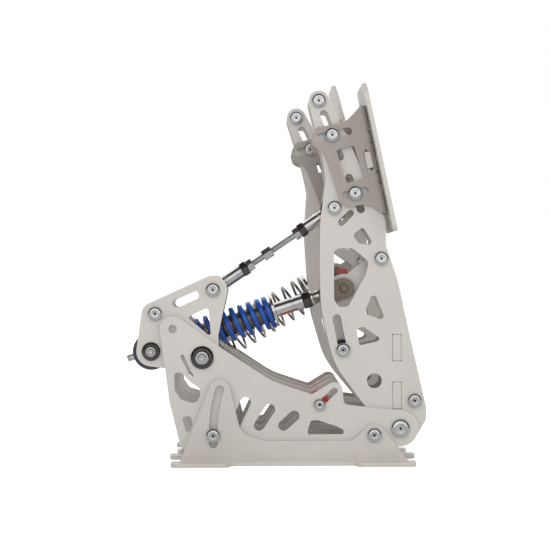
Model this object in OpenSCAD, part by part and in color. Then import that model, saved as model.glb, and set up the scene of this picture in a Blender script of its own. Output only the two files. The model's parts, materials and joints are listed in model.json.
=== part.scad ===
// Two-pedal set for driving games: a brake with a spring strut worked through a
// rocker, and beside it a throttle with a plain coil spring. X runs along each
// pedal, with the driver at +X, Y runs across the set and Z is up. The origin is
// at the middle of the brake's four floor slots, on the floor.

/* [Plates] */
// Thickness of every sheet part
sheet = 3; // [2.5:0.25:3.5]
// Side gap between neighbouring plates that move past each other
plate_gap = 0.5; // [0.3:0.1:1]
// Clear width between the two plates of a pedal arm
arm_inside = 31; // [29:1:35]
// Length of the far bracket minus that of the near one
far_extra = 7; // [0:1:12]
// Distance from the brake's middle plane to the throttle's
module_pitch = 80; // [76:1:120]

/* [Fixings] */
// Diameter of the bolts
bolt_d = 6; // [5:0.5:7]
// Diameter of a button head
head_d = 10.5; // [9:0.5:11]
// Height of a button head
head_h = 2.6; // [2:0.2:3.2]
// Radial clearance of a bolt or shaft in its hole
fit = 0.05; // [0.02:0.01:0.1]
// Diameter of the tubes that hold two plates apart
spacer_d = 10; // [9:0.5:12]

/* [Base brackets] */
// Length of the near bracket on the floor
base_len = 180; // [170:1:200]
// Length of each mounting pad
pad_len = 43; // [34:1:50]
// Depth of a mounting pad, from the upright
pad_depth = 14; // [12:0.5:18]
// Depth of the strip between the pads
strip_depth = 5.5; // [5:0.5:8]
// Distance from the end of the near bracket to the middle of its slot
slot_inset = 21; // [17:0.5:23]
// Length of a floor slot, end to end
slot_len = 20; // [14:1:22]
// Width of a floor slot
slot_w = 6.6; // [6:0.2:7]
// Radius of the pad corners
pad_round = 5.5; // [2:0.5:6]
// Height of the low rail of the upright
rail_h = 17.9; // [15:0.5:18.5]

/* [Tilt] */
// Place of the tilt pivot along the base
tilt_x = 60; // [56:1:62]
// Height of the tilt pivot
tilt_z = 22; // [20:0.5:24]
// Distance from the tilt pivot to the lock bolt
lock_reach = 119; // [114:1:122]
// Angle that the frame can be raised by
tilt_up = 16.5; // [10:0.5:18]
// Angle that the frame can be lowered by
tilt_down = 2.9; // [1:0.1:3]

/* [Frame] */
// Pedal pivot, ahead of the tilt pivot
pedal_dx = 19.5; // [18:0.5:22]
// Pedal pivot, above the tilt pivot
pedal_dz = 4.5; // [3:0.5:8]
// Rocker pivot, behind the tilt pivot
rocker_dx = 127; // [124:0.5:130]
// Rocker pivot, above the tilt pivot
rocker_dz = 57.5; // [55:0.5:60]
// Diameter of the pedal axle
axle_d = 10; // [8:0.5:11]
// Diameter of the rocker shaft
shaft_d = 8; // [6:0.5:9]
// Radius of the rubber on the frame's stop
stop_r = 7.5; // [6:0.5:8]

/* [Pedal arms] */
// Height of the arm's top bolt above the pedal pivot
arm_rise = 243.2; // [240:0.5:250]
// Turnbuckle pivot above the pedal pivot
link_rise = 163.5; // [162:0.5:166]
// Strut pin above the pedal pivot, on the brake arm
strut_rise = 103.7; // [102:0.5:106]
// Strut pin above the pedal pivot, on the throttle arm
throttle_strut_rise = 115; // [112:0.5:117]
// Lean of the throttle arm at rest
throttle_lean = 3.6; // [2:0.2:4]
// Width of a bolt slot in the arm and bracket
adjust_w = 6; // [6:0.2:7]
// Thickness of the cross plate
cross_t = 6; // [4:0.5:8]

/* [Foot plates] */
// Length of a foot plate
foot_len = 111; // [100:1:120]
// Width of a foot plate
foot_w = 70; // [60:1:74]
// Length of the bracket's web behind the plate
web_len = 71; // [64:1:76]
// Lean of the foot plate back from upright
foot_lean = 11.7; // [9:0.3:14]
// How far the throttle's foot plate stands above the brake's, on its bracket
throttle_foot_rise = 11; // [0:1:14]

/* [Brake spring strut] */
// Radius of the drum that the rod slides in
drum_r = 13.9; // [12:0.1:15]
// Diameter of the guide rod
rod_d = 5; // [4:0.5:6]
// Length of rod behind the drum's middle
rod_tail = 20; // [17:1:24]
// From the drum's middle to the spring seat
seat_out = 15; // [14.5:0.5:16]
// Outer diameter of the die spring
spring_d = 25; // [22:0.5:27]
// Wire size across the die spring
spring_wire_w = 4; // [3:0.25:4.5]
// Wire size along the die spring
spring_wire_h = 3; // [2.5:0.25:3.5]
// Turns of the die spring
spring_turns = 12; // [8:1:14]
// From the far spring seat to the strut pin
clevis_out = 56; // [52:1:60]
// Radius of the clevis around its pin
clevis_r = 7.8; // [6.5:0.1:9]

/* [Throttle spring strut] */
// Outer diameter of the wire spring
coil_d = 29; // [24:0.5:30]
// Wire of the wire spring
coil_wire = 2; // [1.5:0.25:2.5]
// Turns of the wire spring
coil_turns = 10; // [7:1:12]
// From the far spring seat to the strut pin
throttle_clevis_out = 24; // [21:1:28]

/* [Turnbuckle] */
// Radius of a rod end's eye
eye_r = 10; // [8.5:0.5:10.5]
// Thickness of a rod end's eye
eye_t = 8; // [6:0.5:10]
// Diameter of a rod end's barrel
barrel_d = 9.3; // [8:0.1:10]
// Diameter of the stud between the rod ends
stud_d = 4.6; // [4:0.1:6]
// Radial play of the front eye on its pin
eye_play = 0.95; // [0.9:0.05:1.2]
// Radial play of a strut pin in its lug
strut_play = 0.75; // [0.65:0.05:1]

/* [Hidden] */
$fn = 64;

plate_colour = [0.78, 0.76, 0.73];
bracket_colour = [0.65, 0.62, 0.59];
steel_colour = [0.82, 0.82, 0.83];
dark_colour = [0.16, 0.16, 0.18];
slate_colour = [0.27, 0.31, 0.36];
bronze_colour = [0.45, 0.42, 0.38];
blue_colour = [0.0, 0.2, 0.68];
red_colour = [0.75, 0.1, 0.08];
black_colour = [0.07, 0.07, 0.07];

// Side distances from a module's middle plane to the inner face of each plate
arm_y = arm_inside / 2;
ear_gap = 0.3;
ear_y = arm_y + sheet + ear_gap;
frame_y = arm_y + sheet + plate_gap;
base_y = frame_y + sheet + plate_gap;
slot_spacing = base_len - 2 * slot_inset;
near_slot_y = -(base_y + sheet + pad_depth / 2);
far_slot_y = base_y - pad_depth / 2;
brake_y = -(near_slot_y + far_slot_y) / 2;

// Pivots and bolts in a module's own plane, as [x, z]
tilt = [tilt_x, tilt_z];
pedal = tilt + [pedal_dx, pedal_dz];
rocker = tilt + [-rocker_dx, rocker_dz];
lock = tilt + lock_reach * [-1, 0];
lock_top = tilt + lock_reach * [-cos(tilt_up), sin(tilt_up)];
rocker_link = rocker + [8, 50];
rocker_strut = rocker + [-38, 4.5];
rocker_tie = rocker + [-35, 32.5];
stop_low = pedal + [-59.7, 17.7];
stop_high = stop_low + [11.1, 10.3];
arm_top = pedal + [-59.2, arm_rise];
arm_mid = pedal + [-13.2, 125.8];
arm_heel = pedal + [11, 20.2];
arm_bumper = pedal + [-41.9, 57.9];
arm_link = pedal + [-48, link_rise];
arm_strut = pedal + [-40.7, strut_rise];
throttle_strut_on_arm = pedal + [-36.4, throttle_strut_rise];
throttle_strut = pedal + turned(throttle_strut_on_arm - pedal, throttle_lean);
bolt_r = bolt_d / 2;
bore_r = bolt_r + fit;
head_r = head_d / 2;
shaft_r = shaft_d / 2;
axle_r = axle_d / 2;
pin_r = 4;
strut_pin_r = 2.6;

// The foot bracket: its middle on the fold, and the two slide directions
foot = arm_top + [41.8, -39];
slide_up = [-0.347, 0.938];
slide_out = [cos(12.5), sin(12.5)];
clamp_high = foot + [-32.1, 13.2];
clamp_low = foot + [-15.3, -30.1];
web_t = sheet;

// Struts and turnbuckle: angles and lengths between their pivots
strut_line = arm_strut - rocker_strut;
strut_angle = atan2(strut_line.y, strut_line.x);
strut_len = norm(strut_line);
spring_len = strut_len - seat_out - clevis_out;
throttle_line = throttle_strut - rocker;
throttle_angle = atan2(throttle_line.y, throttle_line.x);
throttle_len = norm(throttle_line);
coil_len = throttle_len - seat_out - throttle_clevis_out;
link_line = arm_link - rocker_link;
link_angle = atan2(link_line.y, link_line.x);
link_len = norm(link_line);

// Outlines: a list of corners [x, z, fillet radius] going clockwise. A fourth
// value marks a boss: the outline then runs round a circle of that radius.
function at(p) = [p[0], p[1]];
function unit(v) = v / norm(v);
function turned(v, a) = [v.x * cos(a) - v.y * sin(a), v.x * sin(a) + v.y * cos(a)];
function is_boss(p) = len(p) == 4;
function boss(p, r) = [p.x, p.y, r, 1];
function corner(p, r) = [p.x, p.y, r];
function ray(c, p) = atan2(p.y - c.y, p.x - c.x);
function tangent_angle(p, b, turn) = ray(at(b), p) + turn * acos(min(1, b[2] / norm(p - at(b))));
function on_circle(c, r, a) = c + r * [cos(a), sin(a)];
function tangent(p, b, turn) = on_circle(at(b), b[2], tangent_angle(p, b, turn));
function fillet(a, b, c, r, n) =
    let (
        u = unit(a - b),
        w = unit(c - b),
        half = acos(max(-1, min(1, u * w))) / 2,
        reach = min(r / tan(half), 0.48 * norm(a - b), 0.48 * norm(c - b)),
        rr = reach * tan(half),
        centre = b + unit(u + w) * rr / sin(half),
        start = ray(centre, b + u * reach),
        sweep = (u.x * w.y - u.y * w.x > 0 ? -1 : 1) * (180 - 2 * half)
    )
    [for (i = [0:n]) on_circle(centre, rr, start + sweep * i / n)];
function wrap(a, b, c, n) =
    let (
        start = tangent_angle(a, b, -1),
        raw = start - tangent_angle(c, b, 1),
        sweep = raw - 360 * floor(raw / 360)
    )
    [for (i = [0:n]) on_circle(at(b), b[2], start - sweep * i / n)];
function outline(p) =
    let (n = len(p))
    [for (i = [0:n - 1])
        let (a = p[(i + n - 1) % n], b = p[i], c = p[(i + 1) % n])
        each is_boss(b) ? wrap(at(a), b, at(c), 16)
            : b[2] == 0 ? [at(b)]
            : fillet(is_boss(a) ? tangent(at(b), a, 1) : at(a), at(b),
                is_boss(c) ? tangent(at(b), c, -1) : at(c), b[2], 6)];
function from(origin, list) = [for (p = list) [origin.x + p[0], origin.y + p[1], p[2]]];

module shape(list) polygon(outline(list));

// A straight slot from a to b with round ends
function half_round(c, r, start) = [for (i = [0:12]) on_circle(c, r, start + 15 * i)];
module slot(a, b, w) {
    polygon(concat(half_round(b, w / 2, ray(a, b) - 90), half_round(a, w / 2, ray(a, b) + 90)));
}

// A sheet standing in the XZ plane, its inner face at y on the given side
module cheek(side, y, t = sheet) {
    translate([0, side > 0 ? y + t : -y, 0]) rotate([90, 0, 0]) linear_extrude(t) children();
}

// A round bar across the module at p, from y0 to y1
module bar(p, y0, y1, r) {
    translate([p.x, y0, p.y]) rotate([-90, 0, 0]) cylinder(h = y1 - y0, r = r);
}

module tube(p, y0, y1, r, hole) {
    difference() {
        bar(p, y0, y1, r);
        bar(p, y0 - 1, y1 + 1, hole);
    }
}

// A button head with its hexagon socket, standing on the face at y
module button_head(p, side, y, r = head_r, h = head_h) {
    translate([p.x, side * y, p.y]) rotate([-90 * side, 0, 0]) difference() {
        union() {
            cylinder(h = h / 2, r = r);
            translate([0, 0, h / 2]) cylinder(h = h / 2, r1 = r, r2 = 0.68 * r);
        }
        translate([0, 0, h * 0.45]) cylinder(h = h, r = 0.38 * r, $fn = 6);
    }
}

// A bolt from one plate to the other, with a head on each outer face
module through_bolt(p, y, r = bolt_r, hr = head_r) {
    bar(p, -y, y, r);
    for (side = [-1, 1]) button_head(p, side, y, hr);
}

// A bolt with the tube that keeps the plates apart, cut back to leave a middle gap
module spaced_bolt(p, inner, outer, gap = 0, r = bolt_r, sr = spacer_d / 2) {
    through_bolt(p, outer, r);
    for (side = [-1, 1]) {
        bar(p, side > 0 ? gap : -inner, side > 0 ? inner : -gap, sr);
    }
}

// Moves a shape built along +Z onto the line through p at angle a
module along(p, a) translate([p.x, 0, p.y]) rotate([0, 90 - a, 0]) children();

// Turns a whole arm about the pedal pivot, towards pressed
module leaned(a) {
    translate([pedal.x, 0, pedal.y]) rotate([0, -a, 0]) translate([-pedal.x, 0, -pedal.y]) children();
}

module shifted(v) translate([v.x, 0, v.y]) children();

module brake() translate([0, brake_y, 0]) children();

module throttle() translate([0, brake_y + module_pitch, 0]) children();

// Base brackets: bent sheet with two slotted pads, always folded towards the viewer
bend_r = sheet + 1;
lock_boss_r = 7.5;
tilt_boss_r = 7.8;

module bracket_side(half) {
    shape([
        [-half, 0, 0],
        [-half, sheet, 0],
        [-half + 6.5, sheet, 2],
        boss(lock_top, lock_boss_r),
        corner([lock_top.x + 15.5, rail_h + 6], 12),
        corner([lock_top.x + 33, rail_h], 16),
        corner([tilt.x - 16, rail_h], 8),
        boss(tilt, tilt_boss_r),
        [base_len / 2 - 5, sheet, 2],
        [half, sheet, 0],
        [half, 0, 0]
    ]);
}

module bracket_profile() {
    shape([
        [-sheet - pad_depth, 0, 0],
        [0, 0, bend_r],
        [0, lock_top.y + 20, 0],
        [-sheet, lock_top.y + 20, 0],
        [-sheet, sheet, 1],
        [-sheet - pad_depth, sheet, 0]
    ]);
}

module bracket_plan(half) {
    strip = half - pad_len;
    shape([
        [-half, 1, 0],
        [half, 1, 0],
        [half, -sheet - pad_depth, pad_round],
        [strip, -sheet - pad_depth, pad_round],
        [strip, -sheet - strip_depth, 3],
        [-strip, -sheet - strip_depth, 3],
        [-strip, -sheet - pad_depth, pad_round],
        [-half, -sheet - pad_depth, pad_round]
    ]);
}

// Two drilled ends and the milled middle, a hair narrower than the drill
module floor_slot() {
    reach = slot_len - slot_w;
    for (x = [-1, 1] * reach / 2) translate([x, 0, 0]) cylinder(h = sheet + 2, d = slot_w);
    translate([-reach / 2, 0.02 - slot_w / 2, 0]) cube([reach, slot_w - 0.04, sheet + 2]);
}

// The bracket whose upright has its far face at y = back
module bracket(back, length) {
    half = length / 2;
    difference() {
        intersection() {
            translate([-half, back, 0]) rotate([90, 0, 90]) linear_extrude(length) bracket_profile();
            translate([0, back + 1, 0]) rotate([90, 0, 0]) linear_extrude(pad_depth + sheet + 2)
                bracket_side(half);
            translate([0, back, 0]) linear_extrude(lock_top.y + 20) bracket_plan(half);
        }
        for (x = [-1, 1] * slot_spacing / 2) {
            translate([x, back - sheet - pad_depth / 2, -1]) floor_slot();
        }
        bar(tilt, back - sheet - 1, back + 1, bore_r);
        lock_slot(back);
    }
}

// The lock slot follows an arc about the tilt pivot, cut as a ring sector
lock_clear = 0.3;
module lock_slot(back) {
    r = bolt_d / 2 + lock_clear;
    low = 180 + tilt_down;
    high = 180 - tilt_up;
    turn = (high - low) / 20;
    translate([tilt.x, back + 1, tilt.y]) rotate([90, 0, 0]) linear_extrude(sheet + 2)
        polygon(concat(
            [for (i = [0:20]) on_circle([0, 0], lock_reach - r, low + turn * i)],
            [for (i = [1:11]) on_circle(on_circle([0, 0], lock_reach, high), r, high - 180 + 15 * i)],
            [for (i = [20:-1:0]) on_circle([0, 0], lock_reach + r, low + turn * i)],
            [for (i = [1:11]) on_circle(on_circle([0, 0], lock_reach, low), r, low + 15 * i)]
        ));
}

module near_bracket() color(bracket_colour) bracket(-base_y, base_len);
module far_bracket() color(bracket_colour) bracket(base_y + sheet, base_len + far_extra);
module brake_base_near() brake() near_bracket();
module brake_base_far() brake() far_bracket();
module throttle_base_near() throttle() near_bracket();
module throttle_base_far() throttle() far_bracket();

module tilt_bolts() color(steel_colour) {
    for (side = [-1, 1]) {
        outer = base_y + sheet;
        bar(tilt, side > 0 ? frame_y : -outer, side > 0 ? outer : -frame_y, bolt_r);
        button_head(tilt, side, outer);
    }
}
module brake_tilt_bolts() brake() tilt_bolts();
module throttle_tilt_bolts() throttle() tilt_bolts();

// Frame plates, carried by the tilt and lock bolts
frame_boss_r = 13.3;
tail = rocker + [-21.7, 21.2];

module frame_holes() {
    translate(tail) circle(r = 3.1);
    slot(rocker + [-14.6, 0.9], rocker + [-8, -13.1], 2.6);
    shape(from(rocker, [
        [-20.8, -11.5, 2], [-15.8, -10.6, 3], [-8.7, -18.3, 4], [-2, -22.7, 3],
        [-1.3, -27.9, 3], [-5, -34.6, 4], [-16.1, -30.9, 4], [-20.5, -24.2, 3]
    ]));
    shape(from(rocker, [
        [-15.4, -44.2, 2], [-8.7, -42.7, 2], [-7.2, -49.4, 2], [-8.7, -54.6, 1.5],
        [-11.7, -55.3, 1.5]
    ]));
    shape(from(stop_low, [
        [-8.9, -18.5, 1.5], [-6.7, -11.9, 1.5], [-2.3, -11.1, 1.5], [11.8, -15.6, 1.5],
        [17.7, -18.5, 1.5], [17.7, -22, 1.5], [-8.9, -22, 1.5]
    ]));
    for (i = [0:2]) {
        slot([-43 + 18 * i, 29], [-35 + 18 * i, 46 - 5 * i], 8);
    }
    translate(rocker) circle(r = shaft_r + fit);
    translate(pedal) circle(r = axle_r + fit);
    translate(tilt) circle(r = bore_r);
    translate(lock) circle(r = bore_r);
}

module frame_outline() {
    shape([
        [rocker.x - 16, 12, 5],
        corner(rocker + [-24.6, -32], 20),
        boss(tail, 9.5),
        corner(rocker + [14, 6.9], 60),
        corner(rocker + [51.5, -17.9], 60),
        corner(stop_low + [-5.5, 7.4], 4),
        boss(stop_high, 6.2),
        corner(stop_high + [6.5, -10], 4),
        corner(pedal + [-19, 15], 20),
        boss(pedal, frame_boss_r)
    ]);
}

module frame_plate(side) {
    color(plate_colour) cheek(side, frame_y) difference() {
        frame_outline();
        frame_holes();
        slot(stop_low, stop_high, stop_slot_w);
    }
}
stop_slot_w = 4.8;
stop_bolt_r = stop_slot_w / 2 - 0.1;

module brake_frame_near() brake() frame_plate(-1);
module brake_frame_far() brake() frame_plate(1);
module throttle_frame_near() throttle() frame_plate(-1);
module throttle_frame_far() throttle() frame_plate(1);

// The lock bolts are screwed into the frame and pass the brackets' arc slots
lock_head_gap = 0.1;
module lock_bolts() color(steel_colour) {
    for (side = [-1, 1]) {
        outer = base_y + sheet + lock_head_gap;
        bar(lock, side > 0 ? frame_y : -outer, side > 0 ? outer : -frame_y, bolt_r);
        button_head(lock, side, outer);
    }
}
module brake_lock_bolts() brake() lock_bolts();
module throttle_lock_bolts() throttle() lock_bolts();

module pedal_axle() color(steel_colour) {
    through_bolt(pedal, frame_y + sheet, axle_r, axle_r + 1.8);
}
module brake_axle() brake() pedal_axle();
module throttle_axle() throttle() pedal_axle();

washer_t = 1.2;
module nut_end(p, side, y, washer_r, nut_r) {
    y0 = side > 0 ? y : -y - washer_t;
    bar(p, y0, y0 + washer_t, washer_r);
    translate([p.x, side * (y + washer_t), p.y]) rotate([-90 * side, 0, 0]) cylinder(h = 2.8, r = nut_r, $fn = 6);
}

// Short pins at the rocker's pivot, so that the strut can pass between them
module brake_rocker_pins() brake() color(steel_colour) {
    outer = frame_y + sheet;
    for (side = [-1, 1]) {
        bar(rocker, side > 0 ? arm_y : -outer, side > 0 ? outer : -arm_y, shaft_r);
        nut_end(rocker, side, outer, 8.4, 4.6);
    }
}

module stop_bolt() color(steel_colour) {
    outer = frame_y + sheet;
    through_bolt(stop_low, outer, stop_bolt_r, 4.4);
}
module brake_stop_bolt() brake() stop_bolt();
module throttle_stop_bolt() throttle() stop_bolt();

module stop_rubber() color(red_colour) {
    tube(stop_low, -frame_y + 0.1, frame_y - 0.1, stop_r, stop_bolt_r + fit);
}
module brake_stop_rubber() brake() stop_rubber();
module throttle_stop_rubber() throttle() stop_rubber();

// Pedal arms
arm_boss_r = 13.6;
cross_x = pedal.x - 5.1;
tab_low = [pedal.y + 14.4, pedal.y + 33.9];
tab_high = [pedal.y + 50, pedal.y + 69.3];

module arm_outline() {
    shape([
        boss(pedal, arm_boss_r),
        corner(pedal + [-25.5, 15.9], 14),
        corner(pedal + [-49, 48], 60),
        corner(pedal + [-58.7, 91.5], 90),
        corner(pedal + [-58.7, 151.5], 60),
        corner(arm_top + [5, -58.7], 12),
        corner(arm_top + [2.2, -40.2], 14),
        boss(arm_top, 7.5),
        corner(arm_top + [17, -18.4], 6),
        corner(pedal + [-10.4, 154.3], 10),
        corner(pedal + [-9.6, 134.3], 12),
        corner(pedal + [-1.5, 110.4], 40),
        corner(pedal + [8.5, 64.9], 40),
        corner(pedal + [19.6, 15.1], 6),
        corner(pedal + [19.4, 6], 5)
    ]);
}

module arm_windows() {
    slot(clamp_high - 17 * slide_up, clamp_high + 17 * slide_up, adjust_w);
    slot(clamp_low - 12.5 * slide_up, clamp_low + 12.5 * slide_up, adjust_w);
    slot(pedal + [-43, 152.5], pedal + [-36, 159.5], 5);
    shape(from(pedal, [[-34.4, 143.6, 2], [-27, 149.5, 2], [-17.7, 134.7, 3], [-30.5, 137, 2]]));
    shape(from(pedal, [
        [-48.5, 133.2, 4], [-35.1, 133.9, 4], [-22.5, 123.5, 4], [-24.7, 113.9, 6],
        [-38.1, 90.1, 4], [-44.8, 89.7, 4], [-48.5, 95.3, 4]
    ]));
    shape(from(pedal, [[-19.2, 102.7, 2.5], [-9.9, 79, 2.5], [-26.2, 84.9, 2.5]]));
    shape(from(pedal, [[-31.9, 73.8, 2], [-27, 75.3, 2], [-14, 66.4, 2], [-16.6, 64.1, 2], [-30, 61.2, 2]]));
    translate(pedal + [-18.9, 35]) circle(r = 5.6);
    for (tab = [tab_low, tab_high]) {
        translate([cross_x - cross_fit, tab[0] - cross_fit])
            square([cross_t + 2 * cross_fit, tab[1] - tab[0] + 2 * cross_fit]);
    }
}
cross_fit = 0.1;

module arm_plate(side, bolts) {
    color(plate_colour) cheek(side, arm_y) difference() {
        arm_outline();
        arm_windows();
        slot(arm_bumper, arm_bumper + [-4.7, 23.4], adjust_w + 0.4);
        translate(pedal) circle(r = axle_r + fit);
        for (p = bolts) translate(p) circle(r = bore_r);
        translate(arm_link) circle(r = pin_r + fit);
    }
}
arm_bolt_places = [arm_top, arm_mid, arm_heel];
module brake_arm_near() brake() arm_plate(-1, arm_bolt_places);
module brake_arm_far() brake() arm_plate(1, arm_bolt_places);
module throttle_arm_near() throttle() leaned(throttle_lean) arm_plate(-1, arm_bolt_places);
module throttle_arm_far() throttle() leaned(throttle_lean) arm_plate(1, arm_bolt_places);

module arm_hub() color(steel_colour) tube(pedal, -arm_y, arm_y, axle_r + 3, axle_r + fit);
module brake_arm_hub() brake() arm_hub();
module throttle_arm_hub() throttle() leaned(throttle_lean) arm_hub();

// A plate across the arm, its four tabs seated in the arm plates
module cross_plate() color(plate_colour) {
    translate([cross_x, -arm_y, tab_low[0] - 4]) cube([cross_t, 2 * arm_y, tab_high[1] - tab_low[0] + 6]);
    for (tab = [tab_low, tab_high]) {
        translate([cross_x, -arm_y - sheet, tab[0]]) cube([cross_t, 2 * (arm_y + sheet), tab[1] - tab[0]]);
    }
}
module brake_cross_plate() brake() cross_plate();
module throttle_cross_plate() throttle() leaned(throttle_lean) cross_plate();

// Bolts across the arm. The mid bolt leaves a middle gap for the strut's lug
lug_t = 10;
module arm_bolts() color(steel_colour) {
    outer = arm_y + sheet;
    spaced_bolt(arm_top, arm_y, outer);
    spaced_bolt(arm_heel, arm_y, outer);
    spaced_bolt(arm_mid, arm_y, outer, lug_t / 2);
}
module brake_arm_bolts() brake() {
    arm_bolts();
    color(steel_colour) spaced_bolt(arm_link, arm_y, arm_y + sheet, eye_t / 2 + 0.3, pin_r, pin_r + 2);
}
module throttle_arm_bolts() throttle() leaned(throttle_lean) arm_bolts();

// A thick plate in the middle of the arm that takes the strut's pin. On the brake it
// is the load cell
module lug(pin) {
    rotate([90, 0, 0]) translate([0, 0, -lug_t / 2]) linear_extrude(lug_t) difference() {
        union() {
            slot(pin, arm_mid, 13);
            slot(pin, arm_bumper, 13);
            translate(pin) circle(r = 10.8);
        }
        translate(pin) circle(r = strut_pin_r + strut_play);
        translate(arm_mid) circle(r = bore_r);
        translate(arm_bumper) circle(r = bore_r);
    }
}
module brake_load_cell() brake() color(slate_colour) lug(arm_strut);
module throttle_lug() throttle() leaned(throttle_lean) color(slate_colour) lug(throttle_strut_on_arm);

// The bolt and black rubbers low on the arm
module arm_bumper_set() color(black_colour) {
    through_bolt(arm_bumper, arm_y + sheet, bolt_r);
    for (side = [-1, 1]) {
        bar(arm_bumper, side > 0 ? lug_t / 2 : -arm_y, side > 0 ? arm_y : -lug_t / 2, 7.5);
    }
}
module brake_arm_rubber() brake() arm_bumper_set();

// The small plug of the load cell, seated on its edge
plug_size = [8, 6, 4];
module brake_plug() brake() color(red_colour) {
    translate([arm_strut.x - 5, -plug_size.y / 2, arm_strut.y + 10.8]) cube(plug_size);
}

// Clamp bolts that hold the foot bracket, sliding in the arm's slots
ear_outer = ear_y + sheet;
clamp_play = 0.2;
module clamp_bolts() color(steel_colour) {
    for (p = [clamp_high, clamp_low]) {
        through_bolt(p, ear_outer, adjust_w / 2 - clamp_play);
        bar(p, -arm_y, arm_y, spacer_d / 2);
    }
}
module brake_clamp_bolts() brake() clamp_bolts();
module throttle_clamp_bolts() throttle() leaned(throttle_lean) clamp_bolts();

// Foot bracket: two ears outside the arm, folded from the web across the front. A place on
// the fold is given by its height along the web and its distance out of the web's face
ear_drop = 10;
ear_depth = 2 * norm(clamp_high - foot);
function on_fold(up, out) = foot + turned([out, up], foot_lean);
module ear_outline() {
    shape(concat(
        from(foot, [
            [-47.7, 11.9, 3], [-44.1, 18.7, 4], [-22.4, 22.8, 10], [-16, 29.2, 6], [-11.3, 34.8, 3]
        ]),
        [corner(on_fold(web_len / 2, 1), 0), corner(on_fold(-web_len / 2 - ear_drop, 1), 0)],
        from(foot, [
            [3.2, -44.5, 2], [-1.6, -39.8, 6], [-8.8, -38.2, 6], [-20.1, -40.6, 4],
            [-26, -36.6, 3], [-37.6, 0.2, 8], [-46.3, 5, 4]
        ])
    ));
}
module ear_windows() {
    slot(clamp_high - 9.8 * slide_out, clamp_high + 12 * slide_out, adjust_w);
    slot(clamp_low - 7.3 * slide_out, clamp_low + 7.3 * slide_out, adjust_w);
    shape(from(foot, [[-29, 2.1, 2], [-16.4, 5.8, 2], [-8.3, -18.6, 2], [-23.1, -23.1, 3]]));
    slot(on_fold(2.8, -6.8), on_fold(-11.3, -5.5), 2.2);
}

// Builds in the foot plate's own frame: +Z up the plate, +X out of its face
module on_foot() shifted(foot) rotate([0, -foot_lean, 0]) children();

module bracket_channel() {
    shape([
        [0, -ear_outer, bend_r], [0, ear_outer, bend_r], [-ear_depth, ear_outer, 0],
        [-ear_depth, ear_y, 0], [-web_t, ear_y, 1], [-web_t, -ear_y, 1],
        [-ear_depth, -ear_y, 0], [-ear_depth, -ear_outer, 0]
    ]);
}
module foot_bracket() color(bracket_colour) difference() {
    intersection() {
        on_foot() translate([0, 0, -web_len]) linear_extrude(2 * web_len) bracket_channel();
        translate([0, ear_outer + 1, 0]) rotate([90, 0, 0]) linear_extrude(2 * ear_outer + 2) ear_outline();
    }
    translate([0, ear_outer + 2, 0]) rotate([90, 0, 0]) linear_extrude(2 * ear_outer + 4) ear_windows();
}

module brake_foot_bracket() brake() foot_bracket();
module throttle_foot_bracket() throttle() leaned(throttle_lean) foot_bracket();

// Foot plate: a flat sheet with cut top corners and two rows of screw holes
foot_cut = [6, 7];
foot_drop = 4.2;
screw_r = 2;
module foot_plate(rise) color(plate_colour) on_foot() {
    half = foot_w / 2;
    low = rise - foot_len / 2 - foot_drop;
    high = low + foot_len;
    rotate([90, 0, 90]) linear_extrude(sheet) difference() {
        shape([
            [-half, low, 4],
            [-half, high - foot_cut.y, 2],
            [-half + foot_cut.x, high, 2],
            [half - foot_cut.x, high, 2],
            [half, high - foot_cut.y, 2],
            [half, low, 4]
        ]);
        for (y = [-1, 1] * half * 0.6, z = [0:4]) {
            translate([y, low + foot_len * (0.1 + 0.2 * z)]) circle(r = screw_r);
        }
    }
    for (y = [-1, 1] * arm_y * 0.7, z = [-1, 0, 1] * web_len * 0.36) {
        translate([-web_t - 1.2, y, z]) rotate([0, 90, 0]) cylinder(h = 1.2, r = screw_r + 0.6);
    }
}
module brake_foot_plate() brake() foot_plate(0);
module throttle_foot_plate() throttle() leaned(throttle_lean) foot_plate(throttle_foot_rise);

// Rocker: two plates about the rocker pivot
module rocker_outline() {
    shape([
        boss(rocker_strut, 11),
        corner(rocker_strut + [-6.5, 33.5], 8),
        boss(rocker_link, 10.6),
        corner(rocker + [11.8, 16], 8),
        boss(rocker, 12.5),
        corner(rocker + [-22, -9], 14)
    ]);
}

module rocker_plate(side) {
    color(plate_colour) cheek(side, arm_y) difference() {
        rocker_outline();
        slot(rocker + [-19, 40.2], rocker + [-5.5, 46], 6.4);
        shape(from(rocker, [[-11.1, 29.7, 1.5], [4.5, 37.1, 2], [6.7, 14.6, 1.5]]));
        translate(rocker) circle(r = shaft_r + fit);
        translate(rocker_link) circle(r = pin_r + fit);
        translate(rocker_strut) circle(r = bore_r);
        translate(rocker_tie) circle(r = bore_r);
    }
}
module brake_rocker_near() brake() rocker_plate(-1);
module brake_rocker_far() brake() rocker_plate(1);

module brake_rocker_bolts() brake() color(steel_colour) {
    outer = arm_y + sheet;
    spaced_bolt(rocker_tie, arm_y, outer);
    spaced_bolt(rocker_link, arm_y, outer, eye_t / 2 + 0.3, pin_r, pin_r + 2);
}

// Turnbuckle between the rocker and the arm. It turns with the arm's eye, and its
// front eye has play on the rocker's pin
barrel_from = eye_r * 0.8;
module rod_end(hole, reach) {
    difference() {
        union() {
            rotate([90, 0, 0]) translate([0, 0, -eye_t / 2]) cylinder(h = eye_t, r = eye_r);
            translate([0, 0, barrel_from]) cylinder(h = reach - barrel_from, d = barrel_d);
        }
        rotate([90, 0, 0]) translate([0, 0, -eye_t]) cylinder(h = 2 * eye_t, r = hole);
    }
}
front_reach = 26;
rear_reach = 26;
module brake_front_eye() brake() color(dark_colour) {
    along(rocker_link, link_angle) rod_end(pin_r + eye_play, front_reach);
}
module brake_rear_eye() brake() color(dark_colour) {
    along(arm_link, link_angle + 180) rod_end(pin_r + fit, rear_reach);
}

module hexagon(z0, z1, across) translate([0, 0, z0]) cylinder(h = z1 - z0, d = across / cos(30), $fn = 6);

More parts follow.
